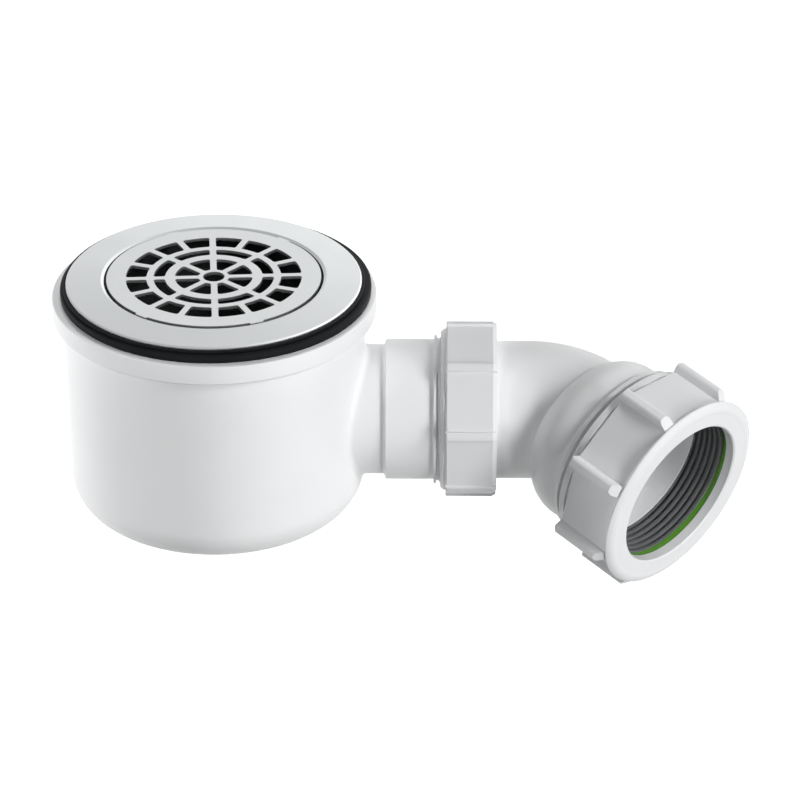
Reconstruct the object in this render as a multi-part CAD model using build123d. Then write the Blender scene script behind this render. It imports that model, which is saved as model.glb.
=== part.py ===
# Shower trap: satin flange and lift-out grid, white body, swivelling 45 degree outlet elbow.
# Millimetres. Z is up, the trap's axis is x = y = 0, and z = 0 is the underside of the flange rim,
# where the flange clamps the tray. The outlet leaves along +X.
import os
from math import cos, pi, radians, sin, tan

from build123d import *

# Fits and small edges
fit = 0.05               # pieces that stay seated on each other
running = 0.05           # the elbow turning in its nut
slide = 0.35             # the insert lifting out of the barrel
thread_gap = 0.3         # plain cylinders that stand for a screwed pair
edge = 0.5               # small bevel
over = 1.0               # how far a cut runs past the face it opens

# Lift-out grid, from its centre outwards
centre_hole_r = 4.0
rows = [(1.7, 8.8), (3.6, 4.3), (2.6, 7.7)]              # band before each row, and its width
row_holes = [8, 8, 16]
grid_rim = 7.2
grid_t = 1.2
spoke_w = 2.4
cell_round = 0.9
lug_w = 5.2
lug_angles = [-132.0, -68.0, 48.0, 112.0]                # degrees from +X
grid_r = centre_hole_r + sum(band + width for band, width in rows) + grid_rim

# Flange skin, with the well that the grid drops into
ring_gap = 1.0
well_depth = 3.0
well_bevel_r, well_bevel_z = 1.1, 0.55
flange_w = 14.1          # from the well to the rim
flange_top = 1.85        # height at the well
rim_h = 0.95             # height at the rim
skin_t = 0.5
well_r = grid_r + ring_gap
flange_r = well_r + flange_w

# Barrel through the tray, with a ledge for the insert
ledge_w = 1.15
barrel_wall = 3.45
barrel_len = 24.0
barrel_bore = well_r - ledge_w
barrel_r = barrel_bore + barrel_wall
ledge_z = -well_depth - 2 * fit

# Gaskets
gasket_play = 2.1
seal_t, seal_lip = 1.0, 2.0          # thin gasket, and how far it shows around the flange
washer_t, washer_step = 2.1, 1.0     # thick washer, and how far it stands in from the collar
gasket_bore = barrel_r + gasket_play
washer_top = -seal_t
washer_bottom = washer_top - washer_t

# Body: threaded neck, collar and cup
neck_wall, neck_lap = 3.5, 2.0
deck_t = 3.9
collar_h, collar_w = 8.6, 4.2
body_room = 6.2          # between the neck and the cup's wall
body_wall, body_draft = 3.0, 0.6
base_corner = 14.5
neck_bore = barrel_r + thread_gap
neck_r = neck_bore + neck_wall
body_r = neck_r + body_room + body_wall
collar_r = body_r + collar_w
washer_r = collar_r - washer_step
deck_bottom = washer_bottom - deck_t
collar_bottom = washer_bottom - collar_h

# Heights of the outlet and the base
outlet_below, base_below = 42.0, 37.9
outlet_z = collar_bottom - outlet_below
base_z = outlet_z - base_below
floor_z = base_z + body_wall

# Insert under the grid: a funnel with a ring seal, and the dip tube
funnel_wall = 2.0
dip_flange_t = 1.65
ring_section_r = 0.82
groove_drop, groove_play = 4.95, 0.36
funnel_drop, funnel_step = 4.0, 0.8
dip_r, dip_wall = 22.0, 2.0
dip_gap = 6.5            # between the dip tube's end and the cup's floor
seal_depth = 50.0        # water seal, from the dip tube's end to the cup's rim

# Seal cup and the spigot that centres it
cup_r, cup_wall = 34.0, 2.0
spigot_w, spigot_h = 1.8, 2.5

# Elbow tube and its flanged tail, which the coupling nut holds
outlet_bore = 21.5
elbow_step, elbow_wall = 1.0, 3.5
tail_w, tail_t = 1.6, 2.35
elbow_bore = outlet_bore + elbow_step
elbow_r = elbow_bore + elbow_wall
tail_r = elbow_r + tail_w

# Side outlet, along +X from the body
stub_wall, stub_len, stub_fillet = 3.0, 7.4, 2.5
sleeve_len, ridge_w, ridge_h = 16.4, 2.0, 0.15
thread_h, thread_len = 1.45, 15.0
relief, relief_w = 0.9, 1.2
stub_r = outlet_bore + stub_wall
thread_r = tail_r + thread_gap
sleeve_r = thread_r - thread_h
sleeve_start = body_r + stub_len
sleeve_end = sleeve_start + sleeve_len
ridge_end = sleeve_end + ridge_w
thread_end = ridge_end + thread_len

# Both nuts are eight-sided, with a round rim at the back, a rounded rib along each corner and a
# coned front
nut_sides = 8

# Coupling nut, its flat seal and its slip ring, along the outlet
nut1_wall, nut1_rim_w, nut1_bevel, nut1_phase = 3.1, 2.2, 1.2, 34.0
nut1_cone_w, nut1_cone_in = 2.4, 0.6
nut1_rib_w, nut1_rib_h, nut1_rib_round = 3.6, 0.4, 0.7
nut1_gap = 2.4           # between the ridge and the nut
coupling_seal_t, coupling_seal_in = 2.4, 0.5
slip1_t, lip1_t = 0.95, 2.6
nut1_bore = thread_r + thread_gap
nut1_start = ridge_end + nut1_gap
tail_start = thread_end + coupling_seal_t + 2 * fit
slip1_start = tail_start + tail_t + fit
lip1_start = slip1_start + slip1_t + fit
nut1_end = lip1_start + lip1_t

# Elbow: where its two axes cross, its bend, and how far it is turned about the outlet
elbow_run = 24.8         # from the coupling nut to the crossing
bend_inner = 4.0         # radius of the inside of the bend
bend_deg, roll_deg = 45.0, 17.0
bend_x = nut1_end + elbow_run
bend_r = elbow_r + bend_inner

# Socket, measured along the outlet axis from the crossing. Its dome leans to the inside of the bend
# and ends at a bead behind the thread
dome_start, dome_len, dome_lean = 9.6, 19.6, 0.9
dome_foot, dome_front_in = 2.0, 1.5
dome_crown_in, dome_crown_z = 0.45, 9.6
socket_bore, socket_wall, socket_thread_h = 28.2, 4.5, 0.9
stop_back = 3.4          # from the pipe stop to the dome's end
socket_depth = 16.0      # how far the pipe goes in past the seal
seal_pocket, seal_pocket_w = 7.0, 3.0
bead_w, bead_h = 1.5, 1.5
bead_groove_w, bead_groove_d = 1.0, 1.3
dome_end = dome_start + dome_len
pipe_stop = dome_end - stop_back
seal_seat = pipe_stop + socket_depth
socket_end = seal_seat + seal_pocket
socket_r = socket_bore + socket_wall
socket_thread_r = socket_r + socket_thread_h

# Outlet nut with its slip ring and its ribbed seal
nut2_from_dome = 3.8
nut2_wall, nut2_rim_w, nut2_cone_w, nut2_phase = 2.3, 3.6, 2.6, 9.2
nut2_groove_w, nut2_groove_d = 0.7, 1.1   # between the rim and the flats
nut2_rib_w, nut2_rib_h, nut2_rib_round = 4.4, 3.0, 1.6
nut2_ring_h, nut2_ring_w = 2.7, 2.5
face_round_r, face_round_z = 4.3, 1.4     # the rounded edge of the front face
mouth_play, lip2_t = 0.8, 4.0
slip2_t, slip2_play, slip2_rise = 2.1, 2.0, 1.1      # the loose ring stands high in the nut
seal_flange_t, seal_play, seal_lip_h = 6.2, 0.3, 1.2
seal_ribs, seal_rib_w, seal_flank = 5, 1.0, 0.4
nut2_bore = socket_thread_r + thread_gap
nut2_flat_r = nut2_bore + nut2_wall
nut2_start = dome_end + nut2_from_dome
seal_low = seal_seat + 2 * fit
seal_flange_low = socket_end + 2 * fit
seal_top = seal_flange_low + seal_flange_t
slip2_start = seal_top + 2 * fit
lip2_start = slip2_start + slip2_t + 2 * fit
nut2_end = lip2_start + lip2_t

os.makedirs("parts", exist_ok=True)


def turned(outline):
    """Turns a closed outline, drawn as radius and height, about Z."""
    return revolve(Plane.XZ * make_face(outline), Axis.Z)


def spin(points):
    """Turns a closed polygon of (radius, height) points about Z."""
    return turned(Polyline(*points, close=True))


def ring(r_in, r_out, z0, z1):
    """A plain ring about Z."""
    return spin([(r_in, z0), (r_out, z0), (r_out, z1), (r_in, z1)])


def nut_blank(flat_r, rib, rim, height, cone_w, front_r):
    """A nut on z = 0: a bevelled round rim, then flats with a grip rib along each corner."""
    rib_w, rib_h, rib_round = rib
    rim_w, bevel = rim
    corner_r = flat_r / cos(pi / nut_sides)
    rib_r, bar_d = corner_r + rib_h, corner_r + rib_h - flat_r + edge
    bar = Pos(rib_r - bar_d / 2, 0, (rim_w + height) / 2) * Box(bar_d, rib_w, height - rim_w)
    bar = fillet(bar.edges().filter_by(Axis.Z).group_by(Axis.X)[-1], rib_round)
    nut = Pos(0, 0, rim_w) * extrude(RegularPolygon(flat_r, nut_sides, major_radius=False), height - rim_w)
    nut = chamfer(nut.edges().group_by(Axis.Z)[0], edge)
    for i in range(nut_sides):
        nut += Rot(0, 0, i * 360 / nut_sides) * bar
    nut &= spin([
        (0, rim_w), (rib_r - bevel, rim_w), (rib_r, rim_w + bevel), (rib_r, height - cone_w),
        (front_r, height), (0, height),
    ])
    return nut + spin([(0, 0), (flat_r - bevel, 0), (flat_r, bevel), (flat_r, rim_w), (0, rim_w)])


# Flange: a thin pressed skin, with its rim and its grid well turned down
def flange_line(t, depth):
    """The flange's outline from its rim, over the top and down its well, set in by t."""
    corner = t * tan(pi / 8)         # how far the end of a bevel moves
    return [
        (flange_r - t, 0), (flange_r - t, rim_h - edge - corner), (flange_r - edge - corner, rim_h - t),
        (well_r + well_bevel_r, flange_top - t), (well_r + t, flange_top - well_bevel_z - corner),
        (well_r + t, -depth),
    ]


flange = spin(flange_line(0, well_depth) + flange_line(skin_t, well_depth)[::-1])

# Barrel: the plastic flange inside the skin, and the threaded tail through the tray
barrel = spin(flange_line(skin_t + fit, -ledge_z) + [
    (barrel_bore, ledge_z), (barrel_bore, -barrel_len), (barrel_r, -barrel_len), (barrel_r, 0),
])

# Gaskets: one under the flange, one on the body
flange_seal = ring(gasket_bore, flange_r + seal_lip, -seal_t, 0)
tray_washer = spin([
    (gasket_bore, washer_bottom), (washer_r - edge, washer_bottom), (washer_r, washer_bottom + edge),
    (washer_r, washer_top - edge), (washer_r - edge, washer_top), (gasket_bore, washer_top),
])

# Body top: collar, deck and the threaded neck, welded on the cup's rim
neck_end = -barrel_len - neck_lap
body_top = spin([
    (neck_bore, washer_bottom), (collar_r - edge, washer_bottom), (collar_r, washer_bottom - edge),
    (collar_r, collar_bottom + edge), (collar_r - edge, collar_bottom), (body_r + fit, collar_bottom),
    (body_r + fit, deck_bottom), (neck_r, deck_bottom), (neck_r, neck_end), (neck_bore, neck_end),
])


# Body: the cup, its stepped and threaded side outlet, and the spigot for the seal cup
def cup_shape(inset, z_top):
    """The cup as a solid, with drafted sides and a rounded bottom corner, set in by inset."""
    r_top, r_low = body_r - inset, body_r - body_draft - inset
    z_low, corner = base_z + inset, base_corner - inset
    mid = corner * (1 - cos(pi / 4))
    sides = Polyline((0, z_low), (0, z_top), (r_top, z_top), (r_low, z_low + corner))
    turn = ThreePointArc((r_low, z_low + corner), (r_low - mid, z_low + mid), (r_low - corner, z_low))
    floor = Line((r_low - corner, z_low), (0, z_low))
    return turned(sides + turn + floor)


along_x = Pos(0, 0, outlet_z) * Rot(0, 90, 0)
stub_root = body_r - 3 * body_wall
stub = spin([
    (0, stub_root), (stub_r, stub_root), (stub_r, sleeve_start - edge), (stub_r + edge, sleeve_start),
    (sleeve_r - edge, sleeve_start), (sleeve_r, sleeve_start + edge), (sleeve_r, sleeve_end),
    (thread_r + ridge_h, sleeve_end), (thread_r + ridge_h, ridge_end), (thread_r - relief, ridge_end),
    (thread_r - relief, ridge_end + relief_w), (thread_r, ridge_end + relief_w + relief),
    (thread_r, thread_end - relief), (thread_r - relief, thread_end), (0, thread_end),
])
cup, stub = cup_shape(0, deck_bottom - fit), along_x * stub
body = cup + stub
body = fillet(new_edges(cup, stub, combined=body), stub_fillet)
body -= cup_shape(body_wall, 0)
body -= along_x * ring(0, outlet_bore, stub_root, thread_end + over)
body += ring(cup_r + slide, cup_r + slide + spigot_w, floor_z - edge, floor_z + spigot_h)


# Grid: a flat disc with three rings of cells around a round hole, and lugs across the gap
def cells(r_in, r_out, count):
    """One ring of rounded cells, with spokes of even width between them."""
    half = pi / count
    a_in, a_out = half - spoke_w / 2 / r_in, half - spoke_w / 2 / r_out

    def at(r, a):
        return (r * cos(a), r * sin(a))

    outline = Line(at(r_in, -a_in), at(r_out, -a_out))
    outline += ThreePointArc(at(r_out, -a_out), (r_out, 0), at(r_out, a_out))
    outline += Line(at(r_out, a_out), at(r_in, a_in))
    outline += ThreePointArc(at(r_in, a_in), (r_in, 0), at(r_in, -a_in))
    cell = make_face(outline)
    cell = fillet(cell.vertices(), min(cell_round, 0.42 * 2 * a_in * r_in))
    return [Rot(0, 0, -90 + (i + 0.5) * 360 / count) * cell for i in range(count)]


grid_top = flange_top - fit
grid_bottom = grid_top - grid_t
plate = Circle(grid_r)
for angle in lug_angles:
    plate += Rot(0, 0, angle) * Pos(grid_r, 0) * Rectangle(2 * (ring_gap - slide), lug_w)
plate -= Circle(centre_hole_r)
row_r = centre_hole_r
for (band, width), count in zip(rows, row_holes):
    plate -= cells(row_r + band, row_r + band + width, count)
    row_r += band + width
grid = Pos(0, 0, grid_bottom) * extrude(plate, grid_t)

# Seal cup: stands on the floor of the body, inside its spigot
cup_low = floor_z + fit
cup_floor = cup_low + cup_wall
dip_end = cup_floor + dip_gap
cup_rim = dip_end + seal_depth
seal_cup = spin([
    (0, cup_low), (cup_r, cup_low), (cup_r, cup_rim), (cup_r - cup_wall, cup_rim),
    (cup_r - cup_wall, cup_floor), (0, cup_floor),
])

# Dip tube: the grid's funnel, resting on the barrel's ledge, with a groove for its ring
funnel_r = barrel_bore - slide
funnel_in, dip_in = funnel_r - funnel_wall, dip_r - dip_wall
dip_rest = ledge_z + fit
dip_flange_r, dip_flange_top = well_r - slide, dip_rest + dip_flange_t
dip_ring_r = barrel_bore - fit - ring_section_r
groove_r = dip_ring_r - ring_section_r - fit
groove_top = dip_rest - groove_drop
groove_low = groove_top - 2 * ring_section_r - groove_play
funnel_top, funnel_low = groove_low - funnel_drop, cup_rim
dip_tube = spin([
    (funnel_in, grid_bottom), (funnel_r, grid_bottom), (funnel_r, dip_flange_top),
    (dip_flange_r, dip_flange_top), (dip_flange_r, dip_rest), (funnel_r, dip_rest),
    (funnel_r, groove_top), (groove_r, groove_top), (groove_r, groove_low), (funnel_r, groove_low),
    (funnel_r, funnel_top), (dip_r, funnel_low), (dip_r, dip_end), (dip_in, dip_end),
    (dip_in, funnel_low + funnel_step), (funnel_in, funnel_top + funnel_step),
])
dip_ring = turned(Pos(dip_ring_r, (groove_top + groove_low) / 2) * Edge.make_circle(ring_section_r))

# Coupling nut, its flat seal and its slip ring
nut1_flat_r = nut1_bore + nut1_wall
nut1 = nut_blank(
    nut1_flat_r, (nut1_rib_w, nut1_rib_h, nut1_rib_round), (nut1_rim_w, nut1_bevel),
    nut1_end - nut1_start, nut1_cone_w, nut1_flat_r - nut1_cone_in)
nut1 = Pos(0, 0, nut1_start) * Rot(0, 0, nut1_phase) * nut1
nut1 -= ring(0, nut1_bore, nut1_start - over, lip1_start)
nut1 -= ring(0, elbow_r + running, lip1_start - over, nut1_end + over)
coupling_nut = along_x * nut1
coupling_seal = along_x * ring(outlet_bore, thread_r - coupling_seal_in, thread_end, tail_start - 2 * fit)
coupling_slip_ring = along_x * ring(
    elbow_r + thread_gap, nut1_bore - 2 * fit, slip1_start, slip1_start + slip1_t)

# Elbow, built in the XY plane and then rolled about the outlet
reach = bend_r * tan(radians(bend_deg / 2))
ahead, aside = cos(radians(bend_deg)), -sin(radians(bend_deg))
inside_end = pipe_stop + over
run = Line((tail_start, 0), (bend_x - reach, 0))
turn = RadiusArc(run @ 1, (bend_x + reach * ahead, reach * aside), bend_r)
last = Line(turn @ 1, (bend_x + inside_end * ahead, inside_end * aside))
path = Wire([run.edge(), turn.edge(), last.edge()])
start = Plane(origin=(tail_start, 0, 0), z_dir=(1, 0, 0))
mouth = Plane(origin=(bend_x, 0, 0), x_dir=(-aside, ahead, 0), z_dir=(ahead, aside, 0)).location

# The elbow's dome, and its socket with a bead behind the thread
foot = (elbow_r - dome_foot, dome_start - over)
crown = (socket_r - dome_crown_in, dome_start + dome_crown_z)
brow = (socket_r - dome_front_in, dome_end)
dome = ThreePointArc(foot, crown, brow)
dome += Polyline(brow, (outlet_bore, dome_end), (outlet_bore, foot[1]), foot)
bead_end, bead_r = dome_end + bead_w, socket_r + bead_h
groove_end, trough_r = bead_end + bead_groove_w, socket_r - bead_groove_d
socket = spin([
    (outlet_bore, dome_end - over), (socket_bore + edge, dome_end - over), (socket_bore + edge, dome_end),
    (bead_r, dome_end), (bead_r, bead_end), (trough_r, bead_end), (trough_r, groove_end),
    (socket_thread_r, groove_end + edge), (socket_thread_r, socket_end), (outlet_bore, socket_end),
])
elbow = sweep(start * Circle(elbow_r), path) + mouth * Pos(-dome_lean, 0, 0) * turned(dome)
elbow += mouth * socket
elbow += Rot(0, 90, 0) * ring(elbow_bore, tail_r, tail_start, tail_start + tail_t)
elbow -= sweep(start * Circle(elbow_bore), path)
elbow -= mouth * ring(0, socket_bore, pipe_stop, seal_seat + over)
elbow -= mouth * ring(0, socket_bore + seal_pocket_w, seal_seat, socket_end + over)
rolled = Pos(0, 0, outlet_z) * Rot(roll_deg, 0, 0)
elbow = rolled * elbow

# Outlet nut: ribbed back, plain front ring with a rounded edge, and a lip over the slip ring
out = rolled * mouth
ring_start, ring_r = nut2_end - nut2_ring_w, nut2_flat_r + nut2_ring_h
mouth_r = socket_bore + mouth_play
bulge = 1 - cos(pi / 4)
rim, face = (ring_r, nut2_end - face_round_z), (ring_r - face_round_r, nut2_end)
front = Polyline(
    face, (mouth_r + edge, nut2_end), (mouth_r, nut2_end - edge), (mouth_r, ring_start),
    (ring_r - edge, ring_start), (ring_r, ring_start + edge), rim,
)
front += ThreePointArc(
    rim, (ring_r - bulge * face_round_r, nut2_end - bulge * face_round_z), face,
)
nut2 = nut_blank(
    nut2_flat_r, (nut2_rib_w, nut2_rib_h, nut2_rib_round), (nut2_rim_w, edge),
    ring_start - nut2_start, nut2_cone_w, ring_r)
nut2 -= ring(nut2_flat_r - nut2_groove_d, nut2_flat_r + over, nut2_rim_w - nut2_groove_w, nut2_rim_w)
nut2 = Pos(0, 0, nut2_start) * Rot(0, 0, nut2_phase) * nut2
nut2 -= ring(0, mouth_r, nut2_start - over, nut2_end)
nut2 += turned(front)
nut2 -= ring(0, nut2_bore, nut2_start - over, lip2_start)
outlet_nut = out * nut2
outlet_slip_ring = out * Pos(0, slip2_rise, 0) * ring(
    socket_bore + slip2_play, nut2_bore - slip2_rise - 2 * fit, slip2_start, slip2_start + slip2_t)

# Ribbed rubber seal, its sleeve in the socket and its flange in the nut
sleeve_out, flange_out = socket_bore + seal_pocket_w - 2 * fit, nut2_bore - seal_play
lip_r, valley_r = socket_bore + seal_play, socket_bore + seal_play + seal_lip_h
pitch = (seal_top - seal_low - edge) / seal_ribs
lips = [(sleeve_out, seal_low), (sleeve_out, seal_flange_low), (flange_out, seal_flange_low),
        (flange_out, seal_top)]
for i in range(seal_ribs):
    z = seal_top - i * pitch
    lips += [(lip_r, z), (lip_r, z - seal_rib_w), (valley_r, z - seal_rib_w - seal_flank),
             (valley_r, z - pitch + seal_flank)]
lips += [(lip_r, seal_low + edge), (lip_r, seal_low)]
outlet_seal = out * spin(lips)

nodes = dict(
    flange=flange, barrel=barrel, flange_seal=flange_seal, tray_washer=tray_washer, body_top=body_top,
    body=body, grid=grid, dip_tube=dip_tube, dip_ring=dip_ring, seal_cup=seal_cup,
    coupling_nut=coupling_nut, coupling_seal=coupling_seal, coupling_slip_ring=coupling_slip_ring,
    elbow=elbow, outlet_nut=outlet_nut, outlet_slip_ring=outlet_slip_ring, outlet_seal=outlet_seal,
)
for name, solid in nodes.items():
    export_step(solid, f"parts/{name}.step")
    box = solid.bounding_box()
    print(name, len(solid.solids()), solid.is_valid, round(solid.volume / 1000, 2), box.min, box.max)
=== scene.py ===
from math import atan2, cos, hypot, pi, radians, sin

import bmesh
import bpy
from mathutils import Matrix, Vector


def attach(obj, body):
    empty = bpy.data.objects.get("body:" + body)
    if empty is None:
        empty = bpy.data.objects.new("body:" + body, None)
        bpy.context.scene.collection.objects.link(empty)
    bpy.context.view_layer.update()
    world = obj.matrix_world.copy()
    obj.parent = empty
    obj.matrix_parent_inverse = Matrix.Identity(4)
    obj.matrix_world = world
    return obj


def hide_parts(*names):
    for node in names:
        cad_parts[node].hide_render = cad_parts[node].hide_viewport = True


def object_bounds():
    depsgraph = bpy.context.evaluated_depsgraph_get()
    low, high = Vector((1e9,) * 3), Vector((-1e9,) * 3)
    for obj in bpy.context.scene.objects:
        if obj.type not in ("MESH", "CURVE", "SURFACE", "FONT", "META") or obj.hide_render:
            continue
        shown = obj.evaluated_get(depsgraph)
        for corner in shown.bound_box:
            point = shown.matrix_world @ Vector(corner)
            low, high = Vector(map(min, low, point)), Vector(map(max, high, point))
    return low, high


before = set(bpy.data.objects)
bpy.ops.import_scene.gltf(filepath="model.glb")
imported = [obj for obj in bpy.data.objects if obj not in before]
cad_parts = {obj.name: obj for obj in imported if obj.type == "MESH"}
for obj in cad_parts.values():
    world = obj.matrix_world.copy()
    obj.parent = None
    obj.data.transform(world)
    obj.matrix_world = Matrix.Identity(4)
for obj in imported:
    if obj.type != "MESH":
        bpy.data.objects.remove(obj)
cad_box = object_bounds()

# The body is the trap's cup with the stepped spigot of its side outlet, moulded in one piece in white
# polypropylene with a low gloss. A thin ridge around the spigot stops short of the coupling nut.


class Tone:
    """A socket in a node tree. Arithmetic on it adds Math nodes, and node() adds any other node."""

    def __init__(self, tree, socket=None):
        self.tree = tree
        self.socket = socket

    def node(self, kind, settings=(), sockets=(), out=0):
        """Adds a node: its settings first, then the values or links of its sockets."""
        made = self.tree.nodes.new(kind)
        for name, value in dict(settings).items():
            setattr(made, name, value)
        for name, value in dict(sockets).items():
            if isinstance(value, Tone):
                self.tree.links.new(value.socket, made.inputs[name])
            else:
                made.inputs[name].default_value = value
        return Tone(self.tree, made.outputs[out] if made.outputs else None)

    def maths(self, operation, first, second):
        return self.node("ShaderNodeMath", {"operation": operation}, {0: first, 1: second})

    def __add__(self, other):
        return self.maths("ADD", self, other)

    def __radd__(self, other):
        return self.maths("ADD", other, self)

    def __sub__(self, other):
        return self.maths("SUBTRACT", self, other)

    def __rsub__(self, other):
        return self.maths("SUBTRACT", other, self)

    def __mul__(self, other):
        return self.maths("MULTIPLY", self, other)

    def __rmul__(self, other):
        return self.maths("MULTIPLY", other, self)

    def __truediv__(self, other):
        return self.maths("DIVIDE", self, other)

    def __rtruediv__(self, other):
        return self.maths("DIVIDE", other, self)


def new_finish(name):
    """An empty material, its tree wrapped for adding nodes, and the object coordinates in it."""
    finish = bpy.data.materials.new(name)
    finish.use_nodes = True
    finish.node_tree.nodes.clear()
    tree = Tone(finish.node_tree)
    return finish, tree, tree.node("ShaderNodeTexCoord", out="Object")


def grain(tree, place, scale, detail=2.0):
    """Noise from 0 to 1, with the given number of grains in a metre."""
    return tree.node("ShaderNodeTexNoise", sockets={"Vector": place, "Scale": scale, "Detail": detail})


def blend(tree, amount, first, second):
    """A colour between two."""
    return tree.node("ShaderNodeMix", {"data_type": "RGBA"}, {"Factor": amount, 6: first, 7: second}, 2)


def relief(tree, height, depth):
    """Surface relief of that depth, in metres, from a height between 0 and 1."""
    return tree.node("ShaderNodeBump", sockets={"Strength": 1.0, "Distance": depth, "Height": height})


def surface(tree, **sockets):
    """Ends a material in one principled shader. An underscore in a socket's name is a space."""
    named = {name.replace("_", " "): value for name, value in sockets.items()}
    shader = tree.node("ShaderNodeBsdfPrincipled", sockets=named)
    tree.node("ShaderNodeOutputMaterial", sockets={"Surface": shader})


def white_moulding(name, white, shade, gloss):
    """White polypropylene: a faint cloudiness, an uneven low gloss and a fine orange peel."""
    finish, tree, place = new_finish(name)
    cloud = grain(tree, place, 45.0)
    peel = grain(tree, place, 900.0)
    surface(
        tree,
        Base_Color=blend(tree, cloud, white, shade),
        Roughness=gloss + 0.10 * cloud,
        Normal=relief(tree, 0.7 * peel + 0.3 * cloud, 0.000012),
    )
    return finish


def redone(node, name, finish, body):
    """A piece that stands for a CAD node, and starts as a copy of its mesh with the seams merged."""
    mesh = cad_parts[node].data.copy()
    normals = [tuple(corner.vector) for corner in mesh.corner_normals]
    joined = bmesh.new()
    joined.from_mesh(mesh)
    bmesh.ops.remove_doubles(joined, verts=joined.verts, dist=0.000001)
    joined.to_mesh(mesh)
    joined.free()
    mesh.normals_split_custom_set(normals)
    mesh.materials.clear()
    mesh.materials.append(finish)
    piece = bpy.data.objects.new(name, mesh)
    bpy.context.scene.collection.objects.link(piece)
    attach(piece, body)
    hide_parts(node)
    return piece


body_white = white_moulding("body_white", (0.86, 0.87, 0.875, 1), (0.82, 0.832, 0.84, 1), 0.30)
body = redone("body", "ridged_body", body_white, "trap")
outlet_z = -0.0537           # level of the outlet's axis
spigot_out = 0.026           # points further from that axis are on the spigot's outside
row_play = 0.02              # how near to an edge a point is on it, in millimetres
edge_moves = [(80.0, 82.0), (82.0, 82.95), (83.2, 84.1), (84.1, 85.0)]     # ridge, then groove, in mm
for point in body.data.vertices:
    if hypot(point.co.y, point.co.z - outlet_z) > spigot_out:
        for solid, real in edge_moves:
            if abs(1000 * point.co.x - solid) < row_play:
                point.co.x = real / 1000
                break

# The outlet's screw thread is moulded with the body and takes the coupling nut. It is one ridge that
# runs four times around the spigot, and its start shows in the gap before the nut.


def growing(name, kinds):
    """A Geometry Nodes tree with those inputs and one mesh out, wrapped for adding nodes."""
    nodes = bpy.data.node_groups.new(name, "GeometryNodeTree")
    for socket, kind in kinds.items():
        nodes.interface.new_socket(socket, in_out="INPUT", socket_type="NodeSocket" + kind)
    nodes.interface.new_socket("Mesh", in_out="OUTPUT", socket_type="NodeSocketGeometry")
    tree = Tone(nodes)
    return nodes, tree, {socket: tree.node("NodeGroupInput", out=socket) for socket in kinds}


def grown(name, source, nodes, values, body):
    """A piece that a tree makes of a source mesh, kept as a plain mesh that rides on a body."""
    piece = bpy.data.objects.new(name, source)
    bpy.context.scene.collection.objects.link(piece)
    grow = piece.modifiers.new("grow", "NODES")
    grow.node_group = nodes
    for item in nodes.interface.items_tree:
        if item.name in values:
            grow[item.identifier] = values[item.name]
    shaped = piece.evaluated_get(bpy.context.evaluated_depsgraph_get())
    mesh = bpy.data.meshes.new_from_object(shaped)
    piece.modifiers.remove(grow)
    mesh.shade_smooth()
    mesh.set_sharp_from_angle(angle=radians(25))
    piece.data = mesh
    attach(piece, body)
    return piece


thread_sizes = {
    "Turns": 4.0, "Rise": 0.012, "Radius": 0.027525, "Height": 0.00105, "Foot": 0.0016, "Crest": 0.0007,
    "Start": 0.08385, "Level": outlet_z, "First Angle": radians(212.4),
}
thread_inputs = {name: "Float" for name in thread_sizes} | {"Finish": "Material"}
nodes, tree, given = growing("outlet_thread", thread_inputs)
helix = tree.node("GeometryNodeCurveSpiral", sockets={
    "Resolution": 96, "Rotations": given["Turns"], "Start Radius": given["Radius"],
    "End Radius": given["Radius"], "Height": given["Rise"], "Reverse": True,
})
helix = tree.node("GeometryNodeSetCurveNormal", {"mode": "Z_UP"}, {"Curve": helix})
ridge = tree.node("GeometryNodeCurvePrimitiveQuadrilateral", {"mode": "TRAPEZOID"}, {
    "Height": given["Height"], "Bottom Width": given["Foot"], "Top Width": given["Crest"], "Offset": 0.0,
})
ridge = tree.node("GeometryNodeTransform", sockets={"Geometry": ridge, "Rotation": (0, 0, radians(-90))})
swept = tree.node("GeometryNodeCurveToMesh", sockets={
    "Curve": helix, "Profile Curve": ridge, "Fill Caps": True,
})
turn = tree.node("ShaderNodeCombineXYZ", sockets={"Z": given["First Angle"]})
swept = tree.node("GeometryNodeTransform", sockets={"Geometry": swept, "Rotation": turn})
start = tree.node("ShaderNodeCombineXYZ", sockets={"X": given["Start"], "Z": given["Level"]})
swept = tree.node("GeometryNodeTransform", sockets={
    "Geometry": swept, "Translation": start, "Rotation": (0, radians(90), 0),
})
swept = tree.node("GeometryNodeRealizeInstances", sockets={"Geometry": swept})
swept = tree.node("GeometryNodeSetMaterial", sockets={"Geometry": swept, "Material": given["Finish"]})
tree.node("NodeGroupOutput", sockets={"Mesh": swept})
grown(
    "outlet_thread", bpy.data.meshes.new("outlet_thread"), nodes, thread_sizes | {"Finish": body_white},
    "trap")

# The collar and neck are a second white moulding, welded onto the cup's rim. The tray washer lies on
# its flat top, and the collar stands out past it all round.


def lathe(name, outline, finish, stands_for, aside=0.0):
    """A turned piece on the trap's axis, or a little aside along X, from its outline in millimetres."""
    steps, count = 288, len(outline)
    turns = [(cos(radians(360 * i / steps)), sin(radians(360 * i / steps))) for i in range(steps)]
    points = [((aside + r * c) / 1000, r * s / 1000, z / 1000) for c, s in turns for r, z in outline]
    faces = []
    for i in range(steps):
        here, after = i * count, (i + 1) % steps * count
        for j in range(count):
            k = (j + 1) % count
            faces.append((here + j, here + k, after + k, after + j))
    mesh = bpy.data.meshes.new(name)
    mesh.from_pydata(points, [], faces)
    mesh.shade_smooth()
    mesh.set_sharp_from_angle(angle=radians(30))
    mesh.materials.append(finish)
    piece = bpy.data.objects.new(name, mesh)
    bpy.context.scene.collection.objects.link(piece)
    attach(piece, "trap")
    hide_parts(stands_for)


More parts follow.
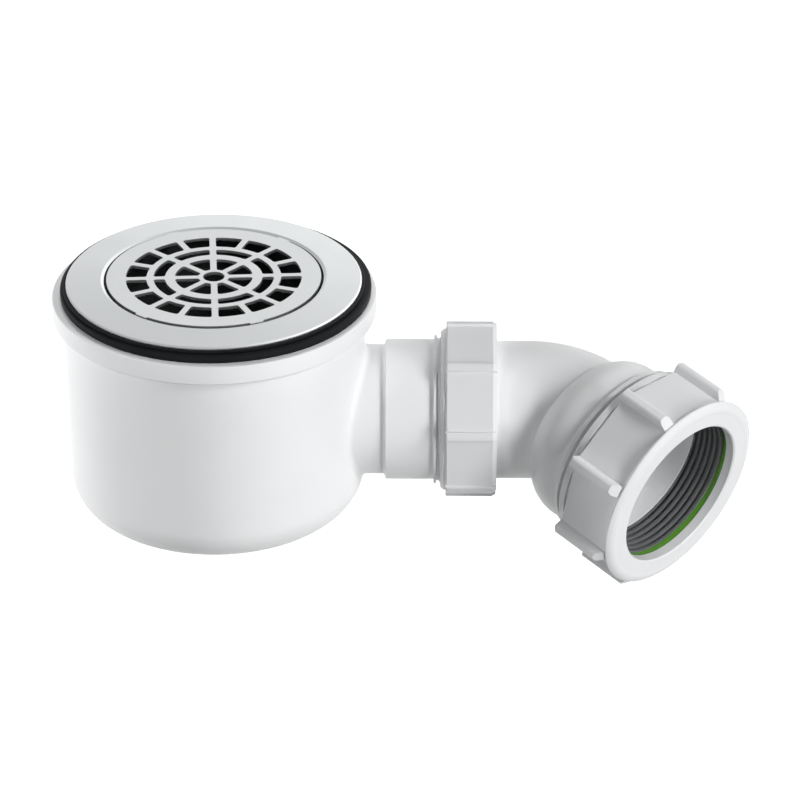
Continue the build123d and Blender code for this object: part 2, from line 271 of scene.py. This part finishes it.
collar_top = -4.25
collar_line = [
    (43.5, collar_top), (59.6, collar_top), (60.15, collar_top - 0.25), (60.4, collar_top - 0.8),
    (60.4, -11.2), (59.9, -11.7), (56.25, -11.7), (56.25, -7.0),
    (47.0, -7.0), (47.0, -26.0), (43.5, -26.0),
]
lathe("collar", collar_line, body_white, "body_top")

# The seal cup stands on the body's floor and holds the water seal. It is a thin white moulding.
# It shows only when the insert is lifted out, and it is a little less glossy than the body.


def dress(finish, node):
    """Gives a CAD node its finish."""
    for part_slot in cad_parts[node].material_slots:
        part_slot.material = finish


cup_white = white_moulding("cup_white", (0.80, 0.81, 0.81, 1), (0.76, 0.77, 0.775, 1), 0.38)
dress(cup_white, "seal_cup")

# Two gaskets seal the tray, a thin one under the flange and a thick washer that lies loose on the
# collar, a little aside. Both are matt black rubber with a fine grain and a little dust on it.


def rubber(name, colour, dust, gloss):
    """Matt dark rubber or plastic with a fine grain and faint paler specks."""
    finish, tree, place = new_finish(name)
    skin = grain(tree, place, 1500.0, 3.0)
    patch = grain(tree, place, 120.0)
    surface(
        tree,
        Base_Color=blend(tree, patch * skin, colour, dust),
        Roughness=gloss + 0.15 * skin,
        Specular_IOR_Level=0.1,
        Normal=relief(tree, skin, 0.00004),
    )
    return finish


gasket_black = rubber("gasket_black", (0.005, 0.006, 0.007, 1), (0.016, 0.017, 0.018, 1), 0.45)
seal_line = [(45.3, 0.0), (56.0, 0.0), (56.2, -0.2), (56.2, -0.8), (56.0, -1.0), (45.3, -1.0)]
lathe("thin_seal", seal_line, gasket_black, "flange_seal")
washer_line = [
    (45.3, -1.0), (57.3, -1.0), (57.8, -1.4), (57.9, -2.2), (57.8, collar_top + 0.5), (57.3, collar_top),
    (45.3, collar_top),
]
lathe("washer", washer_line, gasket_black, "tray_washer", aside=0.7)

# The barrel is the threaded plastic tail under the flange. It screws down into the body's neck and
# clamps the tray, and its ledge carries the insert.

barrel_white = white_moulding("barrel_white", (0.80, 0.81, 0.81, 1), (0.76, 0.77, 0.775, 1), 0.36)
dress(barrel_white, "barrel")

# The flange is a thin pressed metal skin over the barrel's plastic flange, and the grid drops into
# its well, turned a few degrees. Both are plated and have a satin finish with a fine even grain.


def satin_plate(name, bright, dull):
    """Satin plated metal: a fine grain that blurs its reflections, and slightly uneven sheen."""
    finish, tree, place = new_finish(name)
    speck = grain(tree, place, 2600.0, 3.0)
    sheen = grain(tree, place, 60.0)
    surface(
        tree,
        Base_Color=blend(tree, 0.6 * speck + 0.4 * sheen, bright, dull),
        Metallic=1.0,
        Roughness=0.34 + 0.10 * sheen,
        Normal=relief(tree, speck, 0.000010),
    )
    return finish


flange_satin = satin_plate("flange_satin", (0.85, 0.87, 0.875, 1), (0.78, 0.80, 0.805, 1))
dress(flange_satin, "flange")
grid = redone("grid", "turned_grid", flange_satin, "insert")
grid_turn = radians(3.9)
grid.data.transform(Matrix.Rotation(grid_turn, 4, "Z"))

# The insert hangs from the grid: a black plastic funnel and dip tube that ends in the seal cup, with
# a black rubber ring in its groove that seals against the barrel's bore.

insert_black = rubber("insert_black", (0.030, 0.032, 0.034, 1), (0.044, 0.046, 0.048, 1), 0.38)
dress(insert_black, "dip_tube")
dress(gasket_black, "dip_ring")

# The coupling nut draws the elbow's tail against the body's outlet, over a flat rubber seal and a
# thin slip ring. The nut is a thick white moulding, slightly greyer than the body: a round rim, then
# eight flats with straight bevelled ends and a low grip rib along each corner.

nut_white = white_moulding("nut_white", (0.80, 0.81, 0.818, 1), (0.76, 0.773, 0.782, 1), 0.32)
dress(nut_white, "coupling_slip_ring")
dress(gasket_black, "coupling_seal")

sides, first_rib = 8, radians(34)
flat_r, rim_r, thread_bore, lip_bore = 31.3, 30.5, 28.2, 26.05
rib_line = [(33.133, 1.8), (33.58, 1.8), (34.08, 1.6), (34.28, 1.1)]    # half a rib: out, and aside
rib_line = [(u, -v) for u, v in rib_line] + rib_line[::-1]
wedge = [(hypot(u, v), atan2(v, u)) for u, v in rib_line]
rib_end, reach = wedge[-1][1], 2 * pi / sides - 2 * wedge[-1][1]
flat_turns = [rib_end + reach * i / 8 for i in range(1, 9)]
wedge += [(flat_r / cos(turn - pi / sides), turn) for turn in flat_turns]
nut_rows = [                                    # place along the outlet, and radius or how far set in
    (84.4, thread_bore, None), (84.4, 29.2, None), (85.7, rim_r, None), (86.5, rim_r, None),
    (86.5, None, 0.35), (87.0, None, 0), (104.0, None, 0), (105.5, None, 0.9),
    (105.5, lip_bore, None), (102.9, lip_bore, None), (102.9, thread_bore, None),
]
points = []
for x, ring_r, inset in nut_rows:
    for r, turn in wedge:
        r = r - inset if ring_r is None else ring_r
        points.append((x / 1000, r * sin(first_rib + turn) / 1000, -r * cos(first_rib + turn) / 1000))
rows, count = len(nut_rows), len(wedge)
faces = []
for i in range(rows):
    here, after = i * count, (i + 1) % rows * count
    faces += [(here + j, here + j + 1, after + j + 1, after + j) for j in range(count - 1)]
nut_wedge = bpy.data.meshes.new("nut_wedge")
nut_wedge.from_pydata(points, [], faces)
nut_wedge.materials.append(nut_white)

nodes, tree, given = growing("coupling_nut", {
    "Wedge": "Geometry", "Sides": "Int", "Level": "Float", "Finish": "Material"})
middles = tree.node("GeometryNodePoints", sockets={"Count": given["Sides"]})
share = tree.node("GeometryNodeInputIndex") / given["Sides"]
turn = tree.node("ShaderNodeCombineXYZ", sockets={"X": 2 * pi * share})
turn = tree.node("FunctionNodeEulerToRotation", sockets={"Euler": turn})
ring = tree.node("GeometryNodeInstanceOnPoints", sockets={
    "Points": middles, "Instance": given["Wedge"], "Rotation": turn,
})
lift = tree.node("ShaderNodeCombineXYZ", sockets={"Z": given["Level"]})
ring = tree.node("GeometryNodeTransform", sockets={"Geometry": ring, "Translation": lift})
ring = tree.node("GeometryNodeRealizeInstances", sockets={"Geometry": ring})
ring = tree.node("GeometryNodeMergeByDistance", sockets={"Geometry": ring, "Distance": 0.00002})
ring = tree.node("GeometryNodeSetMaterial", sockets={"Geometry": ring, "Material": given["Finish"]})
tree.node("NodeGroupOutput", sockets={"Mesh": ring})
nut = grown(
    "ribbed_nut", nut_wedge, nodes, {"Sides": sides, "Level": outlet_z, "Finish": nut_white},
    "trap")
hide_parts("coupling_nut")

# The elbow turns in the coupling nut. It is one white moulding: a bent tube with a domed socket,
# threaded for the outlet nut.

elbow_white = white_moulding("elbow_white", (0.875, 0.885, 0.89, 1), (0.84, 0.853, 0.86, 1), 0.30)
dress(elbow_white, "elbow")

# The pipe is gripped in the socket by a ribbed seal of dark grey rubber. A green slip ring lies on
# the seal so that the nut doesn't twist it.

seal_grey = rubber("seal_grey", (0.13, 0.135, 0.138, 1), (0.20, 0.206, 0.21, 1), 0.42)
dress(seal_grey, "outlet_seal")
slip_green = white_moulding("slip_green", (0.13, 0.36, 0.035, 1), (0.10, 0.30, 0.030, 1), 0.35)
dress(slip_green, "outlet_slip_ring")

# The outlet nut screws onto the socket and presses the ring and the seal onto the pipe. It is a
# white moulding with a rounded grip rib along each corner and a plain front ring.

dress(nut_white, "outlet_nut")

# The part hangs over a plain pale floor, as it hangs from its tray. The floor looks white and keeps
# the shadow, and only a little of its light falls back on the part.

floor_drop = 0.16            # from the part's lowest point to the floor
floor_half = 6.0
floor_z = cad_box[0][2] - floor_drop
corners = [(x * floor_half, y * floor_half, floor_z) for x, y in ((-1, -1), (1, -1), (1, 1), (-1, 1))]
floor_mesh = bpy.data.meshes.new("floor")
floor_mesh.from_pydata(corners, [], [(0, 1, 2, 3)])
floor = bpy.data.objects.new("floor", floor_mesh)
bpy.context.scene.collection.objects.link(floor)


def seen_ray(tree):
    """1 for rays from the camera and for mirrored or refracted ones, 0 for light on its way."""
    kinds = ("Is Camera Ray", "Is Glossy Ray", "Is Transmission Ray")
    first, second, third = [tree.node("ShaderNodeLightPath", out=kind) for kind in kinds]
    return first + second + third


floor_pale, tree, place = new_finish("floor_pale")
dim = tree.node("ShaderNodeBsdfDiffuse", sockets={"Color": (0.10, 0.10, 0.10, 1)})
lit = tree.node("ShaderNodeBsdfDiffuse", sockets={"Color": (0.6, 0.6, 0.6, 1)})
glow = tree.node("ShaderNodeEmission", sockets={"Color": (1, 1, 1, 1), "Strength": 0.8})
pale = tree.node("ShaderNodeAddShader", sockets={0: lit, 1: glow})
shown = tree.node("ShaderNodeMixShader", sockets={0: seen_ray(tree), 1: dim, 2: pale})
tree.node("ShaderNodeOutputMaterial", sockets={"Surface": shown})
floor_mesh.materials.append(floor_pale)

# The studio around the part is white to the camera and gives no light of its own. The metal mirrors
# a room that is bright low down on the right and shaded high up on the left.

studio = bpy.data.worlds.new("studio")
studio.use_nodes = True
studio.node_tree.nodes.clear()
bpy.context.scene.world = studio
air = Tone(studio.node_tree)
dim = air.node("ShaderNodeBackground", sockets={"Color": (1, 1, 1, 1), "Strength": 0.0})
white = air.node("ShaderNodeBackground", sockets={"Color": (1, 1, 1, 1), "Strength": 1.0})
shade = air.node("ShaderNodeBackground", sockets={"Color": (1, 1, 1, 1), "Strength": 0.5})
bright = air.node("ShaderNodeBackground", sockets={"Color": (1, 1, 1, 1), "Strength": 1.5})
way = air.node("ShaderNodeTexCoord", out="Generated")
across = air.node("ShaderNodeSeparateXYZ", sockets={"Vector": way}, out="X")
upward = air.node("ShaderNodeSeparateXYZ", sockets={"Vector": way}, out="Z")
panel = air.node("ShaderNodeClamp", sockets={"Value": 1.02 + across - 1.3 * upward})
looked = air.node("ShaderNodeLightPath", out="Is Camera Ray")
room = air.node("ShaderNodeMixShader", sockets={0: panel, 1: shade, 2: bright})
room = air.node("ShaderNodeMixShader", sockets={0: looked, 1: room, 2: white})
shown = air.node("ShaderNodeMixShader", sockets={0: seen_ray(air), 1: dim, 2: room})
air.node("ShaderNodeOutputWorld", sockets={"Surface": shown})

# Five soft boxes light the part: two low ones in front, one higher on the right, a strong one on the
# left and one high behind. The metal doesn't mirror them, only the room.

light_reach = 2.0            # from the middle of the part to each soft box
middle = Vector((0.06, 0.0, -0.05))


def soft_box(name, turn, rise, width, power):
    """A square soft box, turn degrees to the right of the front and rise degrees up."""
    lamp = bpy.data.lights.new(name, "AREA")
    lamp.shape, lamp.size, lamp.energy = "SQUARE", width, power
    box = bpy.data.objects.new(name, lamp)
    side, up = radians(turn), radians(rise)
    away = Vector((sin(side) * cos(up), -cos(side) * cos(up), sin(up)))
    box.location = middle + light_reach * away
    box.rotation_euler = (-away).to_track_quat("-Z", "Y").to_euler()
    box.visible_glossy = False
    bpy.context.scene.collection.objects.link(box)


soft_box("front_left", 335, 8, 0.6, 7.4)
soft_box("front_right", 45, 8, 0.6, 20.9)
soft_box("right", 60, 30, 0.6, 18.0)
soft_box("left", 265, 8, 0.6, 32.0)
soft_box("back", 180, 60, 0.6, 13.9)

# The camera looks down from the front at the photograph's angle, through a long lens. Pale colours
# come out as they are written.

camera_data = bpy.data.cameras.new("camera")
camera_data.sensor_width = 36.0
camera_data.lens = 181.65
camera = bpy.data.objects.new("camera", camera_data)
camera.location = (0.08599, -1.33798, 0.67841)
camera.rotation_euler = (radians(61.44), 0, radians(0.72))
bpy.context.scene.collection.objects.link(camera)
bpy.context.scene.camera = camera
bpy.context.scene.view_settings.view_transform = "Standard"
